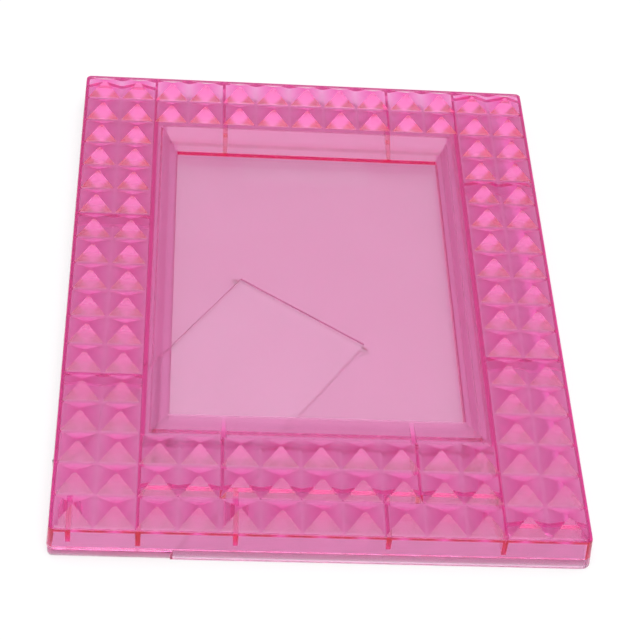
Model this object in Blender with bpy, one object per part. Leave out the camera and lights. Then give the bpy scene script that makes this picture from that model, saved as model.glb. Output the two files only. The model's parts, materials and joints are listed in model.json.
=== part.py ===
"""Moulded picture frame with pyramid studs, lying on its back.

Metres. +Z points out of the front face, +Y to the top of the frame, and the origin is the
middle of the rear rim, which is the plane that the frame lies on.
"""

import math

import bmesh
import bpy
from mathutils import Matrix, Vector

# Field of studs
PITCH = 0.015
COLUMNS = 13
ROWS = 17
STILE_COLUMNS = 2
TOP_ROWS = 2
BOTTOM_ROWS = 3
STUD_HEIGHT = 0.0043
STUD_TIP = 0.0008
GROOVE = 0.0008

# Shell of the front frame
DEPTH = 0.0145
EDGE_MARGIN = 0.0009
WALL_FLARE = 0.0013
WALL = 0.0020
FACE = 0.0025
CORNER_RADIUS = 0.0022
CORNER_SEGMENTS = 4

# Sloped border of the window
SIDE_STRIP = 0.0040
TOP_STRIP = 0.0018
BOTTOM_STRIP = 0.0025
SIDE_BEVEL = 0.0068
TOP_BEVEL = 0.0120
BOTTOM_BEVEL = 0.0114
BEVEL_DROP = 0.0042
LIP_HEIGHT = 0.0020
LIP_LAND = 0.0015
BEVEL_SPREAD = 0.0007

# Stiffening ribs behind the studs, with places counted in stud pitches from the middle
RIB = 0.0018
RIB_DEPTH = 0.0075
LONG_RIB_DEPTH = 0.0090
LONG_RIB_INSET = 0.0010
LEFT_STILE_RIBS = (8.15, 2.5, -3.5)
RIGHT_STILE_RIBS = (8.25, 4.4, -2.5, -8.0)
TOP_BAND_RIBS = (-2.4, 2.4)
BOTTOM_BAND_RIB = -7.1
BOTTOM_INNER_RIBS = (-2.4, 2.4)
BOTTOM_OUTER_RIBS = (-2.1, 1.6)
CORNER_RIB = -6.1
CORNER_RIB_TOP = -7.5

# Clear pane behind the lip of the window
PANE_LAP_SIDE = 0.0068
PANE_LAP_TOP = 0.0132
PANE_LAP_BOTTOM = 0.0125
PANE_THICKNESS = 0.0020

# Back cover in the rebate of the rear rim
RIM = 0.0013
COVER_INSET = 0.0003
COVER_THICKNESS = 0.0038
PRESS_RING = 0.0020
PRESS_RING_SETBACK = 0.0005
PRESS_RING_SINK = 0.0001
LABEL_WIDTH = 0.055
LABEL_HEIGHT = 0.028
LABEL_BOTTOM = 0.075
LABEL_DEPTH = 0.0004

# Easel leg, whose foot is the lower left corner of the rear rim
LEG_WIDTH = 0.060
LEG_TURN = math.radians(-35.3)
LEG_OPENING = math.radians(45.0)
HINGE_X = -0.0054
HINGE_Y = -0.0073
HEEL = 0.00175
HEEL_GAP = 0.0005
STOP_GAP = 0.0002
PIN_RADIUS = 0.0010
PIN_LENGTH = 0.0026
PIN_SIDES = 12
SOCKET_MOUTH = 0.0016
FOOT_SETBACK = 0.0003

# Clearances
FIT = 0.0003
LEG_FIT = 0.0004

# Worked out from the sizes above
FRONT_X = COLUMNS * PITCH / 2 + EDGE_MARGIN
FRONT_Y = ROWS * PITCH / 2 + EDGE_MARGIN
REAR_X = FRONT_X + WALL_FLARE
REAR_Y = FRONT_Y + WALL_FLARE
FIELD_X = (COLUMNS / 2 - STILE_COLUMNS) * PITCH
FIELD_TOP = (ROWS / 2 - TOP_ROWS) * PITCH
FIELD_BOTTOM = (BOTTOM_ROWS - ROWS / 2) * PITCH
BEVEL_X = FIELD_X - SIDE_STRIP
BEVEL_TOP = FIELD_TOP - TOP_STRIP
BEVEL_BOTTOM = FIELD_BOTTOM + BOTTOM_STRIP
LIP_X = BEVEL_X - SIDE_BEVEL
LIP_TOP = BEVEL_TOP - TOP_BEVEL
LIP_BOTTOM = BEVEL_BOTTOM + BOTTOM_BEVEL
CEILING = DEPTH - FACE
LIP_EDGE_Z = DEPTH - BEVEL_DROP
LIP_UNDER_Z = LIP_EDGE_Z - LIP_HEIGHT
PANE_TOP_Z = LIP_UNDER_Z - FIT
PANE_UNDER_Z = PANE_TOP_Z - PANE_THICKNESS
PANE_X = LIP_X + PANE_LAP_SIDE
PANE_TOP = LIP_TOP + PANE_LAP_TOP
PANE_BOTTOM = LIP_BOTTOM - PANE_LAP_BOTTOM
LONG_RIB_X = FIELD_X - LONG_RIB_INSET
COVER_TOP_Z = COVER_INSET + COVER_THICKNESS
NOTCH_Z = COVER_TOP_Z - PRESS_RING_SINK
LEG_THICKNESS = NOTCH_Z - FIT - COVER_INSET
REBATE_Z = COVER_TOP_Z + FIT
REBATE_X = REAR_X - RIM
REBATE_Y = REAR_Y - RIM
HINGE_Z = COVER_INSET + LEG_THICKNESS / 2
CUT_MARGIN = 0.005

PINK = (0.90, 0.16, 0.42, 1.0)
CLEAR = (0.96, 0.95, 0.96, 1.0)


def plastic(name, colour, roughness, transmission):
    """Moulded see-through plastic."""
    material = bpy.data.materials.new(name)
    material.use_nodes = True
    shader = material.node_tree.nodes["Principled BSDF"]
    shader.inputs["Base Color"].default_value = colour
    shader.inputs["Roughness"].default_value = roughness
    shader.inputs["Metallic"].default_value = 0.0
    shader.inputs["Transmission Weight"].default_value = transmission
    return material


def add_object(name, shape, material=None, parent=None):
    """Put a finished bmesh into the scene under its own name."""
    mesh = bpy.data.meshes.new(name)
    bmesh.ops.recalc_face_normals(shape, faces=shape.faces)
    shape.to_mesh(mesh)
    shape.free()
    thing = bpy.data.objects.new(name, mesh)
    bpy.context.collection.objects.link(thing)
    thing.parent = parent
    if material:
        mesh.materials.append(material)
    return thing


def add_tool(name, shape, parent=None):
    """A solid that only cuts or joins others, and is no piece of its own."""
    tool = add_object(name, shape, parent=parent)
    tool.hide_render = True
    tool.display_type = "WIRE"
    return tool


def combine(thing, tool, operation):
    """Join a tool to a piece with UNION, or cut it out with DIFFERENCE."""
    boolean = thing.modifiers.new(tool.name, "BOOLEAN")
    boolean.object = tool
    boolean.operation = operation
    boolean.solver = "EXACT"


def stack(shape, levels):
    """Add a closed solid through rectangles (z, x0, x1, y0, y1), from the lowest up."""
    rings = []
    for z, x0, x1, y0, y1 in levels:
        corners = ((x0, y0), (x1, y0), (x1, y1), (x0, y1))
        rings.append([shape.verts.new((x, y, z)) for x, y in corners])
    shape.faces.new(rings[0][::-1])
    shape.faces.new(rings[-1])
    for lower, upper in zip(rings, rings[1:]):
        for i in range(4):
            j = (i + 1) % 4
            shape.faces.new((lower[i], lower[j], upper[j], upper[i]))


def prism(shape, outline, z0, z1):
    """Add an upright prism on an outline of points that run anticlockwise."""
    lower = [shape.verts.new((x, y, z0)) for x, y in outline]
    upper = [shape.verts.new((x, y, z1)) for x, y in outline]
    shape.faces.new(lower[::-1])
    shape.faces.new(upper)
    for i in range(len(outline)):
        j = (i + 1) % len(outline)
        shape.faces.new((lower[i], lower[j], upper[j], upper[i]))


def score_into_squares(shape):
    """Cut every face along the lines between the studs, so that each stud has a square of its own."""
    cuts = [((i - COLUMNS / 2) * PITCH * Vector((1, 0, 0)), Vector((1, 0, 0))) for i in range(COLUMNS + 1)]
    cuts += [((i - ROWS / 2) * PITCH * Vector((0, 1, 0)), Vector((0, 1, 0))) for i in range(ROWS + 1)]
    for point, normal in cuts:
        everything = shape.verts[:] + shape.edges[:] + shape.faces[:]
        bmesh.ops.bisect_plane(shape, geom=everything, plane_co=point, plane_no=normal)


def around(x, y):
    """Edges of a rectangle of these half sizes about the origin."""
    return -x, x, -y, y


def outer_inset(z):
    """How far the drafted outer wall has come in at a height above the rear rim."""
    return WALL_FLARE * z / DEPTH


def rounded_block(levels):
    """Stacked rectangles with the four standing corners rounded."""
    shape = bmesh.new()
    stack(shape, levels)
    standing = [edge for edge in shape.edges if abs(edge.verts[0].co.z - edge.verts[1].co.z) > FIT]
    bmesh.ops.bevel(shape, geom=standing, offset=CORNER_RADIUS, offset_type="OFFSET",
                    segments=CORNER_SEGMENTS, profile=0.5, affect="EDGES")
    return shape


def stud_places():
    """Middles of the studs on the four bands round the window."""
    places = []
    for row in range(ROWS):
        for column in range(COLUMNS):
            in_stile = column < STILE_COLUMNS or column >= COLUMNS - STILE_COLUMNS
            in_band = row < TOP_ROWS or row >= ROWS - BOTTOM_ROWS
            if in_stile or in_band:
                x = (column - (COLUMNS - 1) / 2) * PITCH
                y = ((ROWS - 1) / 2 - row) * PITCH
                places.append((x, y))
    return places


def add_studs():
    """Square pyramids, whose faces run on a little way below the surface that they stand on."""
    shape = bmesh.new()
    base = (PITCH - GROOVE) / 2
    tip = STUD_TIP / 2
    spread = GROOVE / 4
    sink = spread * STUD_HEIGHT / (base - tip)
    foot = base + spread
    for x, y in stud_places():
        stack(shape, (
            (DEPTH - sink, x - foot, x + foot, y - foot, y + foot),
            (DEPTH + STUD_HEIGHT, x - tip, x + tip, y - tip, y + tip),
        ))
    return add_tool("studs", shape)


def add_cavity():
    """Space behind the studded face, inside the drafted walls."""
    shape = bmesh.new()
    levels = []
    for z in (-CUT_MARGIN, CEILING):
        inset = outer_inset(z) + WALL
        levels.append((z, *around(REAR_X - inset, REAR_Y - inset)))
    stack(shape, levels)
    score_into_squares(shape)
    return add_tool("cavity", shape)


def add_rebate():
    """Step in the rear rim that the back cover sits in."""
    shape = bmesh.new()
    sides = around(REBATE_X, REBATE_Y)
    stack(shape, ((-CUT_MARGIN, *sides), (REBATE_Z, *sides)))
    return add_tool("rebate", shape)


def add_bevel_body():
    """Material under the sloped border of the window."""
    shape = bmesh.new()
    outer = (-BEVEL_X - BEVEL_SPREAD, BEVEL_X + BEVEL_SPREAD,
             BEVEL_BOTTOM - BEVEL_SPREAD, BEVEL_TOP + BEVEL_SPREAD)
    inner = (-LIP_X - LIP_LAND, LIP_X + LIP_LAND, LIP_BOTTOM - LIP_LAND, LIP_TOP + LIP_LAND)
    stack(shape, ((LIP_UNDER_Z, *inner), (CEILING, *outer), (CEILING + FACE / 2, *outer)))
    return add_tool("bevel_body", shape)


def add_window():
    """Opening of the window: straight through the lip, then sloping out to the studded face."""
    shape = bmesh.new()
    lip = (-LIP_X, LIP_X, LIP_BOTTOM, LIP_TOP)
    outer = (-BEVEL_X, BEVEL_X, BEVEL_BOTTOM, BEVEL_TOP)
    stack(shape, ((LIP_UNDER_Z - CUT_MARGIN, *lip), (LIP_EDGE_Z, *lip), (DEPTH, *outer),
                  (DEPTH + CUT_MARGIN, *outer)))
    return add_tool("window", shape)


def add_pane_seat():
    """Clearance for the pane behind the lip, cut out of the ribs that cross it."""
    shape = bmesh.new()
    sides = (-PANE_X - FIT, PANE_X + FIT, PANE_BOTTOM - FIT, PANE_TOP + FIT)
    stack(shape, ((-CUT_MARGIN, *sides), (LIP_UNDER_Z, *sides)))
    return add_tool("pane_seat", shape)


def rib_box(shape, x0, x1, y0, y1, depth):
    """One rib, hanging from inside the face down to its depth below the stud plane."""
    stack(shape, ((DEPTH - depth, x0, x1, y0, y1), (DEPTH - FACE / 5, x0, x1, y0, y1)))


def add_upright_ribs():
    """Ribs that run along Y: two long ones beside the window, and short ones in the bands."""
    shape = bmesh.new()
    half = RIB / 2
    wall_y = FRONT_Y - WALL / 2
    for x in (-LONG_RIB_X, LONG_RIB_X):
        rib_box(shape, x - half, x + half, -wall_y, wall_y, LONG_RIB_DEPTH)
    runs = [(place, LIP_TOP + LIP_LAND, wall_y) for place in TOP_BAND_RIBS]
    cross_y = BOTTOM_BAND_RIB * PITCH
    runs += [(place, cross_y, LIP_BOTTOM - LIP_LAND) for place in BOTTOM_INNER_RIBS]
    runs += [(place, -wall_y, cross_y) for place in BOTTOM_OUTER_RIBS]
    runs.append((CORNER_RIB, -wall_y, CORNER_RIB_TOP * PITCH))
    for place, y0, y1 in runs:
        x = place * PITCH
        rib_box(shape, x - half, x + half, y0, y1, RIB_DEPTH)
    return add_tool("upright_ribs", shape)


def add_level_ribs():
    """Ribs that run along X, from the long ribs to the side walls and between the long ribs."""
    shape = bmesh.new()
    half = RIB / 2
    wall_x = FRONT_X - WALL / 2
    runs = [(place, -wall_x, -LONG_RIB_X) for place in LEFT_STILE_RIBS]
    runs += [(place, LONG_RIB_X, wall_x) for place in RIGHT_STILE_RIBS]
    runs.append((BOTTOM_BAND_RIB, -LONG_RIB_X, LONG_RIB_X))
    for place, x0, x1 in runs:
        y = place * PITCH
        rib_box(shape, x0, x1, y - half, y + half, RIB_DEPTH)
    return add_tool("level_ribs", shape)


def add_front_frame(hinge):
    """Studded shell with its ribs, sloped window border, rebate and the notch for the foot."""
    block = rounded_block(((0.0, *around(REAR_X, REAR_Y)), (DEPTH, *around(FRONT_X, FRONT_Y))))
    score_into_squares(block)
    frame = add_object("front_frame", block, plastic("pink_frame", PINK, 0.25, 0.9))
    combine(frame, add_cavity(), "DIFFERENCE")
    combine(frame, add_rebate(), "DIFFERENCE")
    combine(frame, add_studs(), "UNION")
    combine(frame, add_bevel_body(), "UNION")
    combine(frame, add_upright_ribs(), "UNION")
    combine(frame, add_level_ribs(), "UNION")
    combine(frame, add_window(), "DIFFERENCE")
    combine(frame, add_pane_seat(), "DIFFERENCE")
    combine(frame, add_leg_space("foot_notch", hinge, NOTCH_Z), "DIFFERENCE")
    return frame


def add_window_pane():
    """Flat clear sheet that lies against the back of the lip."""
    shape = bmesh.new()
    sides = (-PANE_X, PANE_X, PANE_BOTTOM, PANE_TOP)
    stack(shape, ((PANE_UNDER_Z, *sides), (PANE_TOP_Z, *sides)))
    return add_object("window_pane", shape, plastic("clear_pane", CLEAR, 0.05, 1.0))


def add_hinge():
    """Empty on the hinge line of the leg: its X runs along the hinge, its -Y to the foot."""
    hinge = bpy.data.objects.new("leg_hinge", None)
    hinge.location = (HINGE_X, HINGE_Y, HINGE_Z)
    hinge.rotation_euler = (0.0, 0.0, LEG_TURN)
    bpy.context.collection.objects.link(hinge)
    return hinge


def leg_outline(half_width, heel, reach_x, reach_y):
    """Outline of the leg on the hinge's own axes, from its heel to a corner at (-reach_x, -reach_y)."""
    turn = Matrix.Rotation(LEG_TURN, 2)
    back = turn.transposed()
    middle = Vector((HINGE_X, HINGE_Y))
    along = turn @ Vector((0.0, -1.0))
    left = middle + turn @ Vector((-half_width, 0.0))
    right = middle + turn @ Vector((half_width, 0.0))
    left_foot = left + along * ((-reach_x - left.x) / along.x)
    right_foot = right + along * ((-reach_y - right.y) / along.y)
    corner = Vector((-reach_x, -reach_y))
    foot = [back @ (point - middle) for point in (left_foot, corner, right_foot)]
    return [Vector((half_width, heel)), Vector((-half_width, heel)), *foot]


def add_easel_leg(hinge):
    """Flat leg with a pin at each side, a corner for a foot, and a flat on its heel that stops it."""
    shape = bmesh.new()
    half = LEG_THICKNESS / 2
    inset = outer_inset(NOTCH_Z) + FOOT_SETBACK
    outline = leg_outline(LEG_WIDTH / 2, HEEL, REAR_X - inset, REAR_Y - inset)
    prism(shape, outline, -half, half)
    corner = [edge for edge in shape.edges
              if all((vert.co.xy - outline[3]).length < FIT for vert in edge.verts)]
    bmesh.ops.bevel(shape, geom=corner, offset=CORNER_RADIUS, offset_type="OFFSET",
                    segments=CORNER_SEGMENTS, profile=0.5, affect="EDGES")
    stop = Vector((0.0, math.cos(LEG_OPENING), -math.sin(LEG_OPENING)))
    reach = HEEL + HEEL_GAP - STOP_GAP
    everything = shape.verts[:] + shape.edges[:] + shape.faces[:]
    bmesh.ops.bisect_plane(shape, geom=everything, plane_co=stop * reach, plane_no=stop, clear_outer=True)
    bmesh.ops.holes_fill(shape, edges=[edge for edge in shape.edges if edge.is_boundary], sides=0)
    leg = add_object("easel_leg", shape, plastic("pink_leg", PINK, 0.25, 0.9), hinge)
    combine(leg, add_hinge_pins(hinge), "UNION")
    return leg


def add_hinge_pins(hinge):
    """Round rod along the hinge line that stands out at both sides of the leg."""
    shape = bmesh.new()
    bmesh.ops.create_cone(shape, cap_ends=True, segments=PIN_SIDES, radius1=PIN_RADIUS, radius2=PIN_RADIUS,
                          depth=LEG_WIDTH + 2 * PIN_LENGTH, matrix=Matrix.Rotation(math.pi / 2, 4, "Y"))
    return add_tool("hinge_pins", shape, hinge)


def add_leg_space(name, hinge, top):
    """Space that the closed leg needs from below up to a height, out through the corner of the rim."""
    shape = bmesh.new()
    outline = leg_outline(LEG_WIDTH / 2 + LEG_FIT, HEEL + HEEL_GAP, REAR_X + CUT_MARGIN, REAR_Y + CUT_MARGIN)
    prism(shape, outline, -HINGE_Z - CUT_MARGIN, top - HINGE_Z)
    return add_tool(name, shape, hinge)


def add_pin_sockets(hinge):
    """Keyhole slots along the hinge line: a round seat, and a narrower mouth that the pins snap through."""
    radius = PIN_RADIUS + FIT
    half_mouth = SOCKET_MOUTH / 2
    mouth_angle = math.asin(half_mouth / radius)
    step = (2 * math.pi - 2 * mouth_angle) / PIN_SIDES
    angles = [mouth_angle + i * step for i in range(PIN_SIDES + 1)]
    outline = [(radius * math.sin(angle), -radius * math.cos(angle)) for angle in angles]
    low = -HINGE_Z - CUT_MARGIN
    outline += [(-half_mouth, low), (half_mouth, low)]
    reach = LEG_WIDTH / 2 + PIN_LENGTH + LEG_FIT
    shape = bmesh.new()
    prism(shape, outline, -reach, reach)
    lay_along_x = Matrix(((0, 0, 1), (1, 0, 0), (0, 1, 0))).to_4x4()
    bmesh.ops.transform(shape, matrix=lay_along_x, verts=shape.verts)
    return add_tool("pin_sockets", shape, hinge)


def add_press_ring():
    """Raised ring on the inner face of the cover that keeps the pane against the lip."""
    outer = (-PANE_X + PRESS_RING_SETBACK, PANE_X - PRESS_RING_SETBACK,
             PANE_BOTTOM + PRESS_RING_SETBACK, PANE_TOP - PRESS_RING_SETBACK)
    inner = (outer[0] + PRESS_RING, outer[1] - PRESS_RING, outer[2] + PRESS_RING, outer[3] - PRESS_RING)
    low = NOTCH_Z
    high = PANE_UNDER_Z - FIT
    shape = bmesh.new()
    stack(shape, ((low, *outer), (high, *outer)))
    ring = add_tool("press_ring", shape)
    hole = bmesh.new()
    stack(hole, ((low - CUT_MARGIN, *inner), (high + CUT_MARGIN, *inner)))
    combine(ring, add_tool("press_ring_hole", hole), "DIFFERENCE")
    return ring


def add_label_recess():
    """Shallow bare recess in the rear face, above the leg."""
    shape = bmesh.new()
    sides = (-LABEL_WIDTH / 2, LABEL_WIDTH / 2, LABEL_BOTTOM, LABEL_BOTTOM + LABEL_HEIGHT)
    stack(shape, ((COVER_INSET - CUT_MARGIN, *sides), (COVER_INSET + LABEL_DEPTH, *sides)))
    return add_tool("label_recess", shape)


def add_back_cover(hinge):
    """Flat plate that snaps into the rear rim, with the opening and the sockets of the leg."""
    shape = bmesh.new()
    sides = around(REBATE_X - FIT, REBATE_Y - FIT)
    stack(shape, ((COVER_INSET, *sides), (COVER_TOP_Z, *sides)))
    cover = add_object("back_cover", shape, plastic("pink_cover", PINK, 0.3, 0.9))
    combine(cover, add_leg_space("leg_opening", hinge, COVER_TOP_Z + CUT_MARGIN), "DIFFERENCE")
    combine(cover, add_pin_sockets(hinge), "DIFFERENCE")
    combine(cover, add_label_recess(), "DIFFERENCE")
    combine(cover, add_press_ring(), "UNION")
    return cover


for old in list(bpy.data.objects):
    bpy.data.objects.remove(old, do_unlink=True)

leg_hinge = add_hinge()
add_front_frame(leg_hinge)
add_window_pane()
add_back_cover(leg_hinge)
add_easel_leg(leg_hinge)
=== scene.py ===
import json
import math

import bpy
import numpy as np
from mathutils import Matrix, Vector


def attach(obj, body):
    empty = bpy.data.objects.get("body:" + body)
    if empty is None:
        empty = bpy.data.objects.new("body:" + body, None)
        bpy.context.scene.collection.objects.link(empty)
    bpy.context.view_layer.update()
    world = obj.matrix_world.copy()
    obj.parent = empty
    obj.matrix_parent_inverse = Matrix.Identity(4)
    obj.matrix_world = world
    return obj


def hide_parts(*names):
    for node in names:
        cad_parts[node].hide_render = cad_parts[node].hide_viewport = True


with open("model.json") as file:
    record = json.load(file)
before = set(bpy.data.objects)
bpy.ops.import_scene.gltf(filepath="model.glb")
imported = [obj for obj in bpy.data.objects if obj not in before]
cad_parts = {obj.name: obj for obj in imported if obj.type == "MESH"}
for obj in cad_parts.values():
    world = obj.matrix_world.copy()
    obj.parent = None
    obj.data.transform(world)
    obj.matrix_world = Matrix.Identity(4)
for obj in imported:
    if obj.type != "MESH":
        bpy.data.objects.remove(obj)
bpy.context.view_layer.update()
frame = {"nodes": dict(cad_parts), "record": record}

# The front frame is one hollow moulding of clear pink acrylic: rows of solid pyramid studs round a
# bevelled window, drafted walls, and ribs that show through as dark lines. Each thick stud has left a
# shallow sink mark in the flat back. Sizes are in millimetres until a mesh is made.
stud_pitch = 15.0
stud_columns = 13
stud_rows = 17
stud_height = 4.3
stud_base = 7.1
stud_tip = 0.4
face_height = 14.5
face_margin = 0.9
edge_round = 0.5
corner_round = 2.2
wall_flare = 1.3
wall_thickness = 2.0
ceiling_height = 12.0
sink_radius = 6.5
sink_depth = 0.15
rebate_height = 4.4
rim_round = 0.25
border_low = np.array([-67.5, -82.5])
border_high = np.array([67.5, 97.5])
bevel_low = np.array([-63.5, -80.0])
bevel_high = np.array([63.5, 95.7])
lip_low = np.array([-56.7, -68.6])
lip_high = np.array([56.7, 83.7])
lip_edge_height = 10.3
lip_under_height = 8.3
lip_land = 1.5
lip_ease = 0.12
bevel_turn = 0.2
under_spread = 0.7
rib_half = 0.9
rib_height = 7.0
long_rib_height = 5.5
long_rib_x = 66.5
short_rib_x = 36.0
cross_rib_y = -106.5
lower_rib_x = (-31.5, 24.0)
corner_rib_x = -91.5
corner_rib_end = -112.5
left_rib_y = (122.25, 37.5, -52.5)
right_rib_y = (123.75, 66.0, -37.5, -120.0)
seat_low = np.array([-63.8, -81.4])
seat_high = np.array([63.8, 97.2])
face_half = stud_pitch * np.array([stud_columns, stud_rows]) / 2.0 + face_margin
grid_steps = 14
border_steps = 7
least_gap = 0.06

# Upright ribs are x, y from, y to and the height of the lower edge; level ribs are y, x from, x to, height.
wall_x, wall_y = face_half
upright_ribs = [(x, -wall_y, wall_y, long_rib_height) for x in (-long_rib_x, long_rib_x)]
upright_ribs += [(x, lip_high[1] + lip_land, wall_y, rib_height) for x in (-short_rib_x, short_rib_x)]
upright_ribs += [(x, cross_rib_y, lip_low[1] - lip_land, rib_height) for x in (-short_rib_x, short_rib_x)]
upright_ribs += [(x, -wall_y, cross_rib_y, rib_height) for x in lower_rib_x]
upright_ribs += [(corner_rib_x, -wall_y, corner_rib_end, rib_height)]
level_ribs = [(y, -wall_x, -long_rib_x, rib_height) for y in left_rib_y]
level_ribs += [(y, long_rib_x, wall_x, rib_height) for y in right_rib_y]
level_ribs += [(cross_rib_y, -long_rib_x, long_rib_x, rib_height)]
ribs = [(x - rib_half, x + rib_half, y0, y1, z) for x, y0, y1, z in upright_ribs]
ribs += [(x0, x1, y - rib_half, y + rib_half, z) for y, x0, x1, z in level_ribs]


def from_nearest_stud(x, y):
    """Offsets from the middle of the nearest stud: the place less the closest whole number of pitches."""
    column = np.clip(np.round(x / stud_pitch), -(stud_columns // 2), stud_columns // 2)
    row = np.clip(np.round(y / stud_pitch), -(stud_rows // 2), stud_rows // 2)
    return x - stud_pitch * column, y - stud_pitch * row


def border_share(x, y, low, high, inner_low, inner_high):
    """0 outside the outer rectangle, 1 inside the inner one, an even rise between, with mitred corners."""
    left = (x - low[0]) / (inner_low[0] - low[0])
    right = (high[0] - x) / (high[0] - inner_high[0])
    lower = (y - low[1]) / (inner_low[1] - low[1])
    upper = (high[1] - y) / (high[1] - inner_high[1])
    return np.clip(np.minimum(np.minimum(left, right), np.minimum(lower, upper)), 0.0, 1.0)


def inside(x, y, low, high):
    """True between the two corners."""
    return (x > low[0]) & (x < high[0]) & (y > low[1]) & (y < high[1])


def front_height(x, y):
    """A pyramid falls with the larger offset from its middle; parabolas round its tip and its groove.
    Inside the border the face slopes down to the lip instead."""
    across, up = from_nearest_stud(x, y)
    reach = np.maximum(np.abs(across), np.abs(up))
    slope = stud_height / (stud_base - stud_tip)
    groove_half = stud_pitch / 2.0 - stud_base
    groove = slope * np.clip(stud_pitch / 2.0 - reach, 0.0, None) ** 2 / (4.0 * groove_half)
    tip = stud_height - slope * reach**2 / (4.0 * stud_tip)
    stud = np.where(reach > stud_base - groove_half, groove, slope * (stud_base - reach))
    stud = np.where(reach < 2.0 * stud_tip, tip, stud)
    drop = face_height - lip_edge_height
    bevel = -drop * border_share(x, y, bevel_low, bevel_high, lip_low, lip_high)
    return face_height + np.where(inside(x, y, border_low, border_high), bevel, stud)


def back_height(x, y):
    """The ceiling of the hollow back: one cosine wave up under each stud, the sloping back of the bevel
    inside the border, and the ribs where they reach lower."""
    across, up = from_nearest_stud(x, y)
    radius = np.clip(np.hypot(across, up) / sink_radius, 0.0, 1.0)
    sink = 0.5 * sink_depth * (1.0 + np.cos(math.pi * radius))
    spread_low, spread_high = bevel_low - under_spread, bevel_high + under_spread
    share = border_share(x, y, spread_low, spread_high, lip_low - lip_land, lip_high + lip_land)
    bevel = -(ceiling_height - lip_under_height) * share
    height = ceiling_height + np.where(inside(x, y, border_low, border_high), bevel, sink)
    lowest = np.where(inside(x, y, seat_low, seat_high), lip_under_height, 0.0)
    for x0, x1, y0, y1, z in ribs:
        rib = inside(x, y, (x0, y0), (x1, y1))
        height = np.where(rib, np.minimum(height, np.maximum(z, lowest)), height)
    return height


def cell_lines(low, high, wanted):
    """Lines over one pitch: both sides, the wanted places between them, then halves of the widest gaps."""
    lines = [low]
    for line in sorted(wanted):
        if lines[-1] + least_gap < line < high - least_gap:
            lines.append(line)
    lines.append(high)
    while len(lines) <= grid_steps:
        widest = int(np.argmax(np.diff(lines)))
        lines.insert(widest + 1, (lines[widest] + lines[widest + 1]) / 2.0)
    return lines


def axis_lines(count, wanted_in_cell, wanted, edge):
    """Grid lines over a row of cells, from edge to edge, with the wanted lines in every cell."""
    lines = []
    for cell in range(count):
        middle = stud_pitch * (cell - (count - 1) / 2.0)
        low = -edge if cell == 0 else middle - stud_pitch / 2.0
        high = edge if cell == count - 1 else middle + stud_pitch / 2.0
        lines += cell_lines(low, high, [middle + offset for offset in wanted_in_cell] + wanted)[:grid_steps]
    return np.array(lines + [edge])


def border_lines(lines, low_lines, high_lines):
    """Grid lines of the window border: the given ones from each side, then even ones to the cell's end."""
    first = int(np.argmin(np.abs(lines - low_lines[0])))
    last = int(np.argmin(np.abs(lines - high_lines[0])))
    result = lines.copy()
    near = np.linspace(low_lines[-1], lines[first + grid_steps], grid_steps - border_steps + 1)
    far = np.linspace(high_lines[-1], lines[last - grid_steps], grid_steps - border_steps + 1)
    result[first:first + grid_steps] = np.append(low_lines, near[1:-1])
    result[last - grid_steps + 1:last + 1] = np.append(high_lines, far[1:-1])[::-1]
    return result, first, last


def sheet_points(x_lines, y_lines, x_border, y_border):
    """The grid of one sheet: straight lines over the studs, and the border's own lines inside the border."""
    border_x, x0, x1 = x_border
    border_y, y0, y1 = y_border
    x = np.repeat(x_lines[:, None], len(y_lines), axis=1)
    y = np.repeat(y_lines[None, :], len(x_lines), axis=0)
    x[x0:x1 + 1, y0 + 1:y1] = border_x[x0:x1 + 1, None]
    y[x0 + 1:x1, y0:y1 + 1] = border_y[None, y0:y1 + 1]
    return x, y


def round_corners(x, y, edge, radius):
    """Turns the square at each corner of a sheet into a quarter disc: square rings become arcs."""
    core = np.array(edge) - radius
    s = np.clip((np.abs(x) - core[0]) / radius, 0.0, None)
    t = np.clip((np.abs(y) - core[1]) / radius, 0.0, None)
    corner = (s > 0.0) & (t > 0.0)
    ring = np.maximum(s, t)
    ratio = np.minimum(s, t) / np.maximum(ring, 1e-9)
    angle = np.where(s >= t, ratio, 2.0 - ratio) * math.pi / 4.0
    round_x = np.sign(x) * (core[0] + radius * ring * np.cos(angle))
    round_y = np.sign(y) * (core[1] + radius * ring * np.sin(angle))
    return np.where(corner, round_x, x), np.where(corner, round_y, y)


def cell_corners(grid):
    """The four corners of every cell of a grid, anticlockwise."""
    return grid[:-1, :-1], grid[1:, :-1], grid[1:, 1:], grid[:-1, 1:]


def sheet_triangles(index, x, y, z, height, hole):
    """Two triangles in each cell, split along the diagonal whose middle lies closer to the true surface."""
    x0, x1, x2, x3 = cell_corners(x)
    y0, y1, y2, y3 = cell_corners(y)
    z0, z1, z2, z3 = cell_corners(z)
    first = np.abs(height((x0 + x2) / 2.0, (y0 + y2) / 2.0) - (z0 + z2) / 2.0)
    second = np.abs(height((x1 + x3) / 2.0, (y1 + y3) / 2.0) - (z1 + z3) / 2.0)
    a, b, c, d = cell_corners(index)
    one_way = np.stack([np.stack([a, b, c], -1), np.stack([a, c, d], -1)], -2)
    other_way = np.stack([np.stack([a, b, d], -1), np.stack([b, c, d], -1)], -2)
    triangles = np.where((first <= second)[..., None, None], one_way, other_way)
    i0, i1, j0, j1 = hole
    kept = np.ones(a.shape, dtype=bool)
    kept[i0:i1, j0:j1] = False
    return triangles[kept].reshape(-1, 3)


def rectangle_loop(i0, i1, j0, j1):
    """Grid indices round a rectangle of the grid, anticlockwise from its lower left corner."""
    across, up = np.arange(i0, i1), np.arange(j0, j1)
    i = np.concatenate([across, np.full(len(up), i1), i1 + i0 - across, np.full(len(up), i0)])
    j = np.concatenate([np.full(len(across), j0), up, np.full(len(across), j1), j1 + j0 - up])
    return i, j


def loop_triangles(first, second):
    """Triangles of the band from one closed loop of points to the next."""
    first_next, second_next = np.roll(first, -1), np.roll(second, -1)
    one = np.stack([first, second, second_next], -1)
    two = np.stack([first, second_next, first_next], -1)
    return np.concatenate([one, two])


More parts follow.
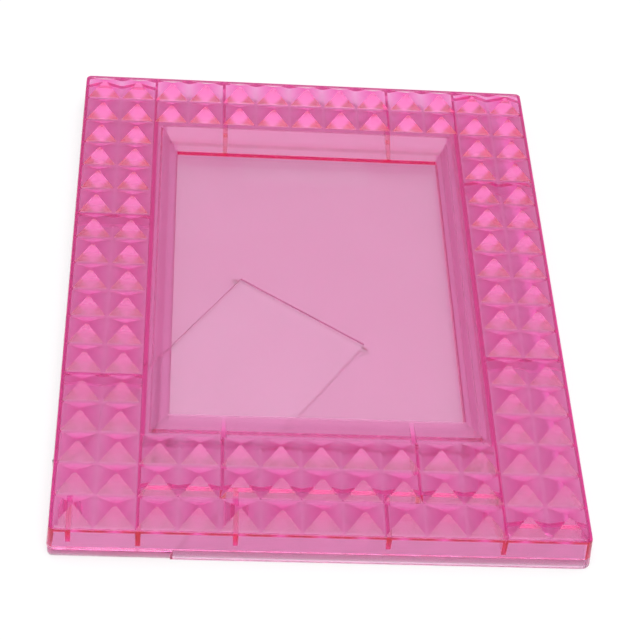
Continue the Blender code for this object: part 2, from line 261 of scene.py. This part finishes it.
def bevel_lines(side, outer, lip):
    """Lines from the border's side over the strip and down the bevel, with a narrow turn at its edges."""
    strip, fall = outer - side, lip - outer
    turn = bevel_turn * np.sign(strip)
    slope = [outer + turn + (fall - 2.5 * turn) * share for share in (0.0, 1.0 / 3.0, 2.0 / 3.0, 1.0)]
    return np.array([side, side + 0.5 * strip, outer - turn] + slope + [lip])


# Front sheet: lines close together at each tip and groove, and along the edges of the bevel.
front_offsets = [0.35, 0.75, 1.3, 4.0, 6.7, 7.15]
front_offsets = [0.0] + front_offsets + [-offset for offset in front_offsets]
front_edge = face_half - edge_round
front_x = axis_lines(stud_columns, front_offsets, [], front_edge[0])
front_y = axis_lines(stud_rows, front_offsets, [], front_edge[1])
x_border, y_border = [
    border_lines(
        lines,
        bevel_lines(border_low[axis], bevel_low[axis], lip_low[axis]),
        bevel_lines(border_high[axis], bevel_high[axis], lip_high[axis]),
    )
    for axis, lines in enumerate((front_x, front_y))
]
front_grid_x, front_grid_y = sheet_points(front_x, front_y, x_border, y_border)
front_grid_z = front_height(front_grid_x, front_grid_y)
hole_x = (x_border[1] + border_steps, x_border[2] - border_steps)
hole_y = (y_border[1] + border_steps, y_border[2] - border_steps)
hole = hole_x + hole_y
lip_i, lip_j = rectangle_loop(*hole)
front_grid_z[lip_i, lip_j] -= lip_ease
front_corner = corner_round - edge_round
front_round_x, front_round_y = round_corners(front_grid_x, front_grid_y, front_edge, front_corner)

# Back sheet: even lines under the studs, and pairs of lines at the sides of each rib.
rib_lean = 0.05
rib_sides = [side + lean for side in (-rib_half, rib_half) for lean in (-rib_lean, rib_lean)]
back_edge = face_half + wall_flare * (1.0 - ceiling_height / face_height) - wall_thickness
x_wanted = [x + side for x in sorted({rib[0] for rib in upright_ribs}) for side in rib_sides]
y_wanted = [y + side for y in sorted({rib[0] for rib in level_ribs}) for side in rib_sides]
y_wanted.append(corner_rib_end - 2.0 * rib_lean)
back_x = axis_lines(stud_columns, [0.0], x_wanted, back_edge[0])
back_y = axis_lines(stud_rows, [0.0], y_wanted, back_edge[1])


def land_lines(side, spread, land, lip, extra):
    """Lines from the border's side to the back of the bevel, down it, and over the land behind the lip."""
    return np.array([side] + extra + [spread, (spread + land) / 2.0, land, lip])


under_low, under_high = bevel_low - under_spread, bevel_high + under_spread
land_low, land_high = lip_low - lip_land, lip_high + lip_land
rib_lines = [-long_rib_x + side for side in (rib_lean - rib_half, rib_half - rib_lean, rib_half + rib_lean)]
seat_lines_low = [seat_low[1] + step for step in (-0.5, -rib_lean, rib_lean)]
seat_lines_high = [seat_high[1] + step for step in (0.15, rib_lean, -rib_lean)]
x_low = land_lines(border_low[0], under_low[0], land_low[0], lip_low[0], rib_lines)
y_low = land_lines(border_low[1], under_low[1], land_low[1], lip_low[1], seat_lines_low)
y_high = land_lines(border_high[1], under_high[1], land_high[1], lip_high[1], seat_lines_high)
back_grid_x, back_grid_y = sheet_points(
    back_x, back_y, border_lines(back_x, x_low, -x_low), border_lines(back_y, y_low, y_high))
back_grid_z = back_height(back_grid_x, back_grid_y)

# Walls: the outlines of both sheets are carried down the edge round, the wall, the rim and the rebate.
rim_i, rim_j = rectangle_loop(0, stud_columns * grid_steps, 0, stud_rows * grid_steps)
wall_core = face_half - corner_round


def outline_of(x, y):
    """Splits an outline into its core rectangle and the unit vectors that point out of it."""
    outline = np.stack([x, y], -1)
    core = np.clip(outline, -wall_core, wall_core)
    out = outline - core
    return core, out / np.linalg.norm(out, axis=1, keepdims=True)


def wall_out(z):
    """How far the drafted outer wall stands outside the front outline at a height."""
    return wall_flare * (1.0 - z / face_height)


front_core, front_out = outline_of(front_round_x[rim_i, rim_j], front_round_y[rim_i, rim_j])
back_x_rim = np.clip(back_grid_x[rim_i, rim_j], -back_edge[0], back_edge[0])
back_y_rim = np.clip(back_grid_y[rim_i, rim_j], -back_edge[1], back_edge[1])
back_round_x, back_round_y = round_corners(back_x_rim, back_y_rim, back_edge, back_edge[0] - wall_core[0])
back_core, back_out = outline_of(back_round_x, back_round_y)

hinge = next(joint for joint in frame["record"]["behaviour"]["joints"] if joint["name"] == "leg_hinge")
hinge_place = 1000.0 * np.array(hinge["pos_m"])
hinge_axis = np.array(hinge["axis"])
opening_half = 30.4
notch_height = 4.0
notch_lean = 0.01
side_index = np.arange(len(rim_i))
bottom_end = stud_columns * grid_steps
left_start = 2 * bottom_end + stud_rows * grid_steps


def wall_loop(out, z):
    """One outline of the wall. Below the notch for the leg's foot it is lifted between the leg's sides."""
    points = front_core + (corner_round + out) * front_out
    heights = np.full(len(points), z)
    if z > rebate_height:
        return np.column_stack([points, heights])
    hinge_along = hinge_axis[:2] @ hinge_place[:2]
    right_line = (opening_half + hinge_along - hinge_axis[1] * points[:, 1]) / hinge_axis[0]
    left_line = (opening_half - hinge_along + hinge_axis[0] * points[:, 0]) / -hinge_axis[1]
    below_right = (side_index < bottom_end) & (points[:, 0] < right_line)
    below_left = (side_index >= left_start) & (points[:, 1] < left_line)
    right_end, left_end = side_index[below_right].max(), side_index[below_left].min()
    points[right_end, 0] = right_line[right_end] - notch_lean
    points[right_end + 1, 0] = right_line[right_end + 1] + notch_lean
    points[left_end, 1] = left_line[left_end] - notch_lean
    points[left_end - 1, 1] = left_line[left_end - 1] + notch_lean
    notch = below_right | below_left
    if z < notch_height:
        shorter = front_core + (corner_round + min(out, wall_out(notch_height))) * front_out
        keep = notch & (side_index != right_end) & (side_index != left_end)
        points = np.where(keep[:, None], shorter, points)
        heights = np.where(notch, notch_height, heights)
    return np.column_stack([points, heights])


polish_end = rebate_height + 0.8
loops = []
for degrees in (30.0, 60.0, 90.0):
    turn = math.radians(degrees)
    z = face_height - edge_round + edge_round * math.cos(turn)
    loops.append(wall_loop(edge_round * (math.sin(turn) - 1.0) + wall_out(z), z))
loops.append(wall_loop(wall_out(polish_end), polish_end))
smooth_loops = len(loops)
loops.append(wall_loop(wall_out(notch_height), notch_height))
loops.append(wall_loop(wall_out(rim_round), rim_round))
loops.append(wall_loop(wall_flare - rim_round, 0.0))
loops.append(wall_loop(0.0, 0.0))
loops.append(wall_loop(0.0, rebate_height))
inner_rim = back_core + (corner_round + wall_out(rebate_height) - wall_thickness) * back_out
loops.append(np.column_stack([inner_rim, np.full(len(inner_rim), rebate_height)]))
back_rim_z = back_grid_z[rim_i, rim_j]
back_rim = back_core + (corner_round + wall_out(back_rim_z) - wall_thickness)[:, None] * back_out
back_grid_x[rim_i, rim_j] = back_rim[:, 0]
back_grid_y[rim_i, rim_j] = back_rim[:, 1]

# All the sheets and loops in one list of points. The matt share is 0 on the polished front, a part on the
# hollow back, and 1 on the rim that the cover presses into.
back_matt = 0.85
front_index = np.arange(front_grid_x.size).reshape(front_grid_x.shape)
back_index = front_index + front_grid_x.size
points = [np.stack([front_round_x, front_round_y, front_grid_z], -1).reshape(-1, 3)]
points.append(np.stack([back_grid_x, back_grid_y, back_grid_z], -1).reshape(-1, 3))
matt = [np.zeros(front_grid_x.size), np.full(back_grid_x.size, back_matt)]
start = 2 * front_grid_x.size
loop_index = [front_index[rim_i, rim_j]]
for number, loop in enumerate(loops):
    loop_index.append(start + np.arange(len(loop)))
    points.append(loop)
    matt.append(np.full(len(loop), 0.0 if number < smooth_loops else 1.0))
    start += len(loop)
loop_index.append(back_index[rim_i, rim_j])
triangles = [sheet_triangles(front_index, front_grid_x, front_grid_y, front_grid_z, front_height, hole)]
back_triangles = sheet_triangles(back_index, back_grid_x, back_grid_y, back_grid_z, back_height, hole)
triangles.append(back_triangles[:, ::-1])
triangles += [loop_triangles(first, second) for first, second in zip(loop_index, loop_index[1:])]
triangles.append(loop_triangles(back_index[lip_i, lip_j], front_index[lip_i, lip_j]))


def add_piece(name, points, triangles, matt, sharp_degrees):
    """Joins points that fall together, drops empty triangles and makes the mesh, smooth up to an angle."""
    joined, kept, place = np.unique(np.round(points, 4), axis=0, return_index=True, return_inverse=True)
    triangles = place.reshape(-1)[triangles]
    whole = (triangles[:, 0] != triangles[:, 1]) & (triangles[:, 1] != triangles[:, 2])
    whole &= triangles[:, 0] != triangles[:, 2]
    used, triangles = np.unique(triangles[whole], return_inverse=True)
    mesh = bpy.data.meshes.new(name)
    mesh.from_pydata(joined[used] / 1000.0, [], triangles.reshape(-1, 3))
    mesh.attributes.new("matt_share", "FLOAT", "POINT").data.foreach_set("value", matt[kept][used])
    mesh.shade_smooth()
    mesh.set_sharp_from_angle(angle=math.radians(sharp_degrees))
    piece = bpy.data.objects.new(name, mesh)
    bpy.context.scene.collection.objects.link(piece)
    return piece


front_frame = add_piece(
    "studded_front",
    np.concatenate(points),
    np.concatenate(triangles),
    np.concatenate(matt),
    sharp_degrees=25.0,
)
even_normals = front_frame.modifiers.new("even_normals", "WEIGHTED_NORMAL")
even_normals.keep_sharp = True

# Moulded surface, shared by all four pieces: the roughness goes from smooth to matt by a share, slow
# flow marks vary it and the clearness a little, and a fine grain ripples the surface.
moulded = bpy.data.node_groups.new("moulded_surface", "ShaderNodeTree")
moulded.interface.new_socket("Place", in_out="INPUT", socket_type="NodeSocketVector")
moulded.interface.new_socket("Smooth", in_out="INPUT", socket_type="NodeSocketFloat")
moulded.interface.new_socket("Matt", in_out="INPUT", socket_type="NodeSocketFloat")
moulded.interface.new_socket("Share", in_out="INPUT", socket_type="NodeSocketFloat")
moulded.interface.new_socket("Clearness", in_out="OUTPUT", socket_type="NodeSocketColor")
moulded.interface.new_socket("Roughness", in_out="OUTPUT", socket_type="NodeSocketFloat")
moulded.interface.new_socket("Ripple", in_out="OUTPUT", socket_type="NodeSocketFloat")
group_in = moulded.nodes.new("NodeGroupInput")
group_out = moulded.nodes.new("NodeGroupOutput")
flow = moulded.nodes.new("ShaderNodeTexNoise")
flow.inputs["Scale"].default_value = 38.0
flow.inputs["Detail"].default_value = 2.0
flow.inputs["Distortion"].default_value = 0.6
grain = moulded.nodes.new("ShaderNodeTexNoise")
grain.inputs["Scale"].default_value = 700.0
grain.inputs["Detail"].default_value = 2.0
finish = moulded.nodes.new("ShaderNodeMapRange")
uneven = moulded.nodes.new("ShaderNodeMapRange")
uneven.inputs["To Min"].default_value = 0.85
uneven.inputs["To Max"].default_value = 1.15
rough = moulded.nodes.new("ShaderNodeMath")
rough.operation = "MULTIPLY"
clear = moulded.nodes.new("ShaderNodeMix")
clear.data_type = "RGBA"
clear.inputs["A"].default_value = (1.0, 1.0, 1.0, 1.0)
clear.inputs["B"].default_value = (0.985, 0.965, 0.975, 1.0)
moulded.links.new(group_in.outputs["Place"], flow.inputs["Vector"])
moulded.links.new(group_in.outputs["Place"], grain.inputs["Vector"])
moulded.links.new(group_in.outputs["Share"], finish.inputs["Value"])
moulded.links.new(group_in.outputs["Smooth"], finish.inputs["To Min"])
moulded.links.new(group_in.outputs["Matt"], finish.inputs["To Max"])
moulded.links.new(flow.outputs["Fac"], uneven.inputs["Value"])
moulded.links.new(finish.outputs["Result"], rough.inputs[0])
moulded.links.new(uneven.outputs["Result"], rough.inputs[1])
moulded.links.new(flow.outputs["Fac"], clear.inputs["Factor"])
moulded.links.new(clear.outputs["Result"], group_out.inputs["Clearness"])
moulded.links.new(rough.outputs["Value"], group_out.inputs["Roughness"])
moulded.links.new(grain.outputs["Fac"], group_out.inputs["Ripple"])


def moulded_plastic(name, smooth, matt, refraction, absorbed, density):
    """A see-through plastic: the moulded surface over a body that absorbs each colour along the path.
    Returns the material, and the group node whose Share socket each piece links to its own mask."""
    material = bpy.data.materials.new(name)
    material.use_nodes = True
    nodes = material.node_tree.nodes
    links = material.node_tree.links
    surface = nodes.new("ShaderNodeGroup")
    surface.node_tree = moulded
    surface.inputs["Smooth"].default_value = smooth
    surface.inputs["Matt"].default_value = matt
    surface.inputs["Share"].default_value = 0.0
    place = nodes.new("ShaderNodeTexCoord")
    bump = nodes.new("ShaderNodeBump")
    bump.inputs["Strength"].default_value = 0.2
    bump.inputs["Distance"].default_value = 0.00002
    body = nodes.new("ShaderNodeVolumeAbsorption")
    body.inputs["Color"].default_value = (*absorbed, 1.0)
    body.inputs["Density"].default_value = density
    shader = nodes["Principled BSDF"]
    shader.inputs["Metallic"].default_value = 0.0
    shader.inputs["Transmission Weight"].default_value = 1.0
    shader.inputs["IOR"].default_value = refraction
    links.new(place.outputs["Object"], surface.inputs["Place"])
    links.new(surface.outputs["Clearness"], shader.inputs["Base Color"])
    links.new(surface.outputs["Roughness"], shader.inputs["Roughness"])
    links.new(surface.outputs["Ripple"], bump.inputs["Height"])
    links.new(bump.outputs["Normal"], shader.inputs["Normal"])
    links.new(body.outputs["Volume"], nodes["Material Output"].inputs["Volume"])
    return material, surface


pink_tint = (1.0, 0.0, 0.69)
pink_density = 176.0
acrylic = 1.5
pink_frame, frame_surface = moulded_plastic(
    "pink_frame", smooth=0.12, matt=0.25, refraction=acrylic, absorbed=pink_tint, density=pink_density)
matt_share = pink_frame.node_tree.nodes.new("ShaderNodeAttribute")
matt_share.attribute_name = "matt_share"
pink_frame.node_tree.links.new(matt_share.outputs["Fac"], frame_surface.inputs["Share"])
front_frame.data.materials.append(pink_frame)
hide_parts("front_frame")
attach(front_frame, "frame")

# The window pane is a thin clear sheet cut to size, which lies in the seat behind the lip. It bends light
# far less here than acrylic does, which keeps dark patches out of the window, and a coat gives its gloss.
window_pane = frame["nodes"]["window_pane"]
clear_pane, _ = moulded_plastic(
    "clear_pane", smooth=0.04, matt=0.04, refraction=1.05, absorbed=(0.95, 0.9, 0.92), density=5.0)
pane_shader = clear_pane.node_tree.nodes["Principled BSDF"]
pane_shader.inputs["Coat Weight"].default_value = 0.6
pane_shader.inputs["Coat Roughness"].default_value = 0.05
window_pane.data.materials.clear()
window_pane.data.materials.append(clear_pane)

# The back cover is a moulded plate of the same pink acrylic as the frame, with an opening for the leg, a
# shallow label place and a ring that presses on the pane. Its front is satin; underside and ring are matt.
back_cover = frame["nodes"]["back_cover"]
# Its tint is greyer and its absorption denser than the frame's: painted shade for the shadow that the frame
# casts on the table under the window.
shaded_cover_density = 182.0
shaded_cover_tint = (0.915, 0.0, 0.6)
cover_satin = 0.4
cover_matt = 0.75
ramp_top = 6.0
underside = [(1.3, 1.0), (1.7, 0.0)]
ring = [(4.1, 0.0), (4.3, 0.6)]


def matt_below(material, surface, matt_heights):
    """Links the matt share to a ramp over the height above the table, through pairs of height and share."""
    nodes = material.node_tree.nodes
    links = material.node_tree.links
    place = nodes.new("ShaderNodeTexCoord")
    split = nodes.new("ShaderNodeSeparateXYZ")
    height = nodes.new("ShaderNodeMapRange")
    height.inputs["From Max"].default_value = ramp_top / 1000.0
    ramp = nodes.new("ShaderNodeValToRGB")
    for element, (position, share) in zip(ramp.color_ramp.elements, matt_heights):
        element.position = position / ramp_top
        element.color = (share, share, share, 1.0)
    for position, share in matt_heights[2:]:
        element = ramp.color_ramp.elements.new(position / ramp_top)
        element.color = (share, share, share, 1.0)
    links.new(place.outputs["Object"], split.inputs["Vector"])
    links.new(split.outputs["Z"], height.inputs["Value"])
    links.new(height.outputs["Result"], ramp.inputs["Fac"])
    links.new(ramp.outputs["Color"], surface.inputs["Share"])


pink_cover, cover_surface = moulded_plastic(
    "pink_cover", cover_satin, cover_matt, acrylic, shaded_cover_tint, shaded_cover_density)
matt_below(pink_cover, cover_surface, underside + ring)
back_cover.data.materials.clear()
back_cover.data.materials.append(pink_cover)

# The easel leg is a flat moulded strip that turns on two pins in the cover and folds flush into its
# opening. Its copy here is a little wider, so that the seam to the cover is as fine as the real one.
leg_half = 30.0
seam_narrowing = 0.3
side_tolerance = 0.02


def node_arrays(name):
    """Points in millimetres and triangles of a CAD node, which is a list of loose triangles."""
    mesh = frame["nodes"][name].data
    points = np.empty(3 * len(mesh.vertices))
    mesh.vertices.foreach_get("co", points)
    corners = np.empty(len(mesh.loops), dtype=np.int32)
    mesh.loops.foreach_get("vertex_index", corners)
    return 1000.0 * points.reshape(-1, 3), corners.reshape(-1, 3)


leg_points, leg_triangles = node_arrays("easel_leg")
along_hinge = (leg_points - hinge_place) @ hinge_axis
on_side = np.abs(np.abs(along_hinge) - leg_half) < side_tolerance
leg_points += (np.where(on_side, seam_narrowing, 0.0) * np.sign(along_hinge))[:, None] * hinge_axis
easel_leg = add_piece(
    "folding_leg", leg_points, leg_triangles, np.zeros(len(leg_points)), sharp_degrees=30.0)
# The leg takes the cover's greyer tint and denser absorption, the same painted shade as the cover.
pink_leg, leg_surface = moulded_plastic(
    "pink_leg", cover_satin, cover_matt, acrylic, shaded_cover_tint, shaded_cover_density)
matt_below(pink_leg, leg_surface, underside)
easel_leg.data.materials.append(pink_leg)
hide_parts("easel_leg")
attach(easel_leg, "leg")

# The floor is a plain pale table top, a hair below the rim. The camera, and rays that come off or through
# the plastic, also see a glow of its own, so that it reads white round the object and keeps its shadow.
# From below it is clear, so that the back of the frame and its moving pieces can be looked at.
floor_half = 6.0
floor_drop = 0.0003
floor_grey = 0.35
floor_glow = 0.65
corner = np.array([(-1.0, -1.0), (1.0, -1.0), (1.0, 1.0), (-1.0, 1.0)]) * floor_half
floor_mesh = bpy.data.meshes.new("floor")
floor_mesh.from_pydata(np.column_stack([corner, np.full(4, -floor_drop)]), [], [(0, 1, 2, 3)])
floor = bpy.data.objects.new("floor", floor_mesh)
bpy.context.scene.collection.objects.link(floor)
table_top = bpy.data.materials.new("table_top")
table_top.use_nodes = True
nodes = table_top.node_tree.nodes
links = table_top.node_tree.links
paint = nodes["Principled BSDF"]
paint.inputs["Base Color"].default_value = (floor_grey, floor_grey, floor_grey, 1.0)
paint.inputs["Roughness"].default_value = 1.0
paint.inputs["Specular IOR Level"].default_value = 0.0
paint.inputs["Emission Color"].default_value = (1.0, 1.0, 1.0, 1.0)
ray = nodes.new("ShaderNodeLightPath")
seen = nodes.new("ShaderNodeMath")
seen.operation = "MAXIMUM"
through = nodes.new("ShaderNodeMath")
through.operation = "MAXIMUM"
glow = nodes.new("ShaderNodeMath")
glow.operation = "MULTIPLY"
glow.inputs[1].default_value = floor_glow
links.new(ray.outputs["Is Camera Ray"], seen.inputs[0])
links.new(ray.outputs["Is Glossy Ray"], seen.inputs[1])
links.new(seen.outputs["Value"], through.inputs[0])
links.new(ray.outputs["Is Transmission Ray"], through.inputs[1])
links.new(through.outputs["Value"], glow.inputs[0])
links.new(glow.outputs["Value"], paint.inputs["Emission Strength"])
see_through = nodes.new("ShaderNodeBsdfTransparent")
facing = nodes.new("ShaderNodeNewGeometry")
one_sided = nodes.new("ShaderNodeMixShader")
links.new(facing.outputs["Backfacing"], one_sided.inputs["Fac"])
links.new(paint.outputs["BSDF"], one_sided.inputs[1])
links.new(see_through.outputs["BSDF"], one_sided.inputs[2])
links.new(one_sided.outputs["Shader"], nodes["Material Output"].inputs["Surface"])
floor_mesh.materials.append(table_top)

# The studio is a white room with one long softbox above the near edge, which brightens the near facets
# of the studs. The camera sees the room white; what shines off the plastic is a little darker.
room_light = 0.65
room_through = 1.0
world = bpy.data.worlds.new("studio")
world.use_nodes = True
nodes = world.node_tree.nodes
links = world.node_tree.links
ray = nodes.new("ShaderNodeLightPath")
shine = nodes.new("ShaderNodeMapRange")
shine.inputs["To Min"].default_value = room_light
shine.inputs["To Max"].default_value = room_through
direct = nodes.new("ShaderNodeMapRange")
direct.inputs["To Max"].default_value = 1.0
links.new(ray.outputs["Is Transmission Ray"], shine.inputs["Value"])
links.new(shine.outputs["Result"], direct.inputs["To Min"])
links.new(ray.outputs["Is Camera Ray"], direct.inputs["Value"])
links.new(direct.outputs["Result"], nodes["Background"].inputs["Strength"])
nodes["Background"].inputs["Color"].default_value = (1.0, 1.0, 1.0, 1.0)
bpy.context.scene.world = world

softbox = bpy.data.lights.new("overhead_softbox", "AREA")
softbox.shape = "RECTANGLE"
softbox.size = 1.0
softbox.size_y = 2.2
softbox.energy = 18.0
softbox_place = Vector((0.0, -0.45, 1.55))
softbox_stand = bpy.data.objects.new("overhead_softbox", softbox)
softbox_turn = (-softbox_place).to_track_quat("-Z", "Y").to_matrix().to_4x4()
softbox_stand.matrix_world = Matrix.Translation(softbox_place) @ softbox_turn
bpy.context.scene.collection.objects.link(softbox_stand)

# The camera stands before the lower edge and looks down on the frame, turned a little as in the
# photograph. Light goes to and fro many times in clear plastic, so the paths are long.
lens = bpy.data.cameras.new("camera")
lens.lens = 106.24
lens.sensor_width = 36.0
camera = bpy.data.objects.new("camera", lens)
camera_place = Vector((-0.0579, -0.5444, 0.5523))
camera_aim = Vector((0.0020, -0.0203, 0.0145))
roll_degrees = 6.59
camera_turn = (camera_aim - camera_place).to_track_quat("-Z", "Y").to_matrix().to_4x4()
camera_roll = Matrix.Rotation(math.radians(roll_degrees), 4, "Z")
camera.matrix_world = Matrix.Translation(camera_place) @ camera_turn @ camera_roll
bpy.context.scene.collection.objects.link(camera)
bpy.context.scene.camera = camera
bpy.context.scene.view_settings.view_transform = "Standard"
bpy.context.scene.cycles.max_bounces = 32
bpy.context.scene.cycles.glossy_bounces = 24
bpy.context.scene.cycles.transmission_bounces = 32
